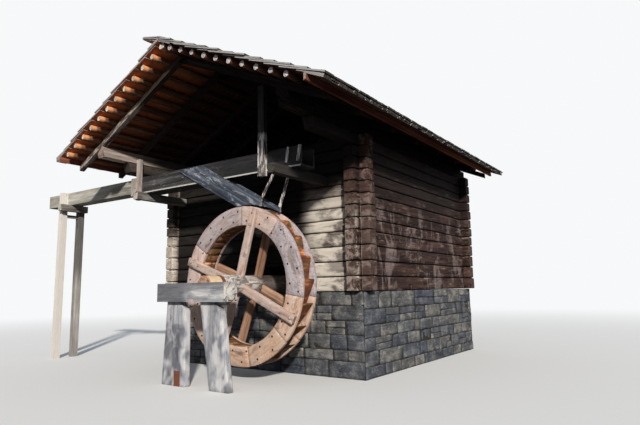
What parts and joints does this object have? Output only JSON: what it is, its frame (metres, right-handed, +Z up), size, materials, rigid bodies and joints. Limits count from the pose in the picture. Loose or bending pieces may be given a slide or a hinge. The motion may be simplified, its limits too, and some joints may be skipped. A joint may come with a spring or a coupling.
{
  "type": "watermill",
  "caption": "Small log watermill on a stone base, with an overshot bucket wheel on a trestle, a wooden flume and chute, and a shingle roof over an open gable.",
  "frame": {"origin": "on the ground under the front wall, below the ridge, on the bottom face of the front base", "axes": "+X to the right along the front wall, +Y from the front wall to the back wall along the ridge, +Z up"},
  "size_m": [6.8002, 5.48, 4.2563],
  "materials": {
    "rubble_stone": "rough rubble",
    "wall_log": "weathered hewn logs",
    "roof_timber": "dark dry timber",
    "batten_pole": "round poles, barked",
    "shingle": "split shingles, silvered",
    "wheel_larch": "new sawn larch",
    "bucket_board": "wet sawn boards",
    "iron": "rusted",
    "grey_timber": "silvered timber",
    "flume_board": "silvered boards",
    "dark_block": "dark dry timber"
  },
  "bodies": {
    "mill": {"front_base": "rubble_stone", "back_base": "rubble_stone", "left_base": "rubble_stone", "right_base": "rubble_stone", "front_wall": "wall_log", "back_wall": "wall_log", "left_wall": "wall_log", "right_wall": "wall_log", "left_plate": "roof_timber", "right_plate": "roof_timber", "left_rafters": "roof_timber", "right_rafters": "roof_timber", "left_battens": "batten_pole", "right_battens": "batten_pole", "left_shingles": "shingle", "right_shingles": "shingle", "eave_boards": "batten_pole", "trestle_beam": "grey_timber", "left_leg": "grey_timber", "right_leg": "grey_timber", "leg_strap": "iron", "inner_bearing": "dark_block", "upper_trough": "flume_board", "main_trough": "flume_board", "chute": "flume_board", "chute_hangers": "grey_timber", "trough_cleats": "grey_timber", "left_hanger": "grey_timber", "joint_board": "grey_timber", "joint_bearer": "grey_timber", "right_hanger": "grey_timber", "end_bearer": "grey_timber", "bent_posts": "grey_timber", "bent_bearer": "grey_timber", "bent_tie": "grey_timber"},
    "wheel": {"axle": "wheel_larch", "axle_band": "iron", "front_shroud": "wheel_larch", "back_shroud": "wheel_larch", "sole": "bucket_board", "buckets": "bucket_board", "front_arms": "wheel_larch", "back_arms": "wheel_larch"}
  },
  "joints": [
    {"name": "wheel_turn", "type": "hinge", "parent": "mill", "child": "wheel", "pos_m": [0.56, -0.7, 1.13], "axis": [0, 1, 0], "continuous": true}
  ]
}
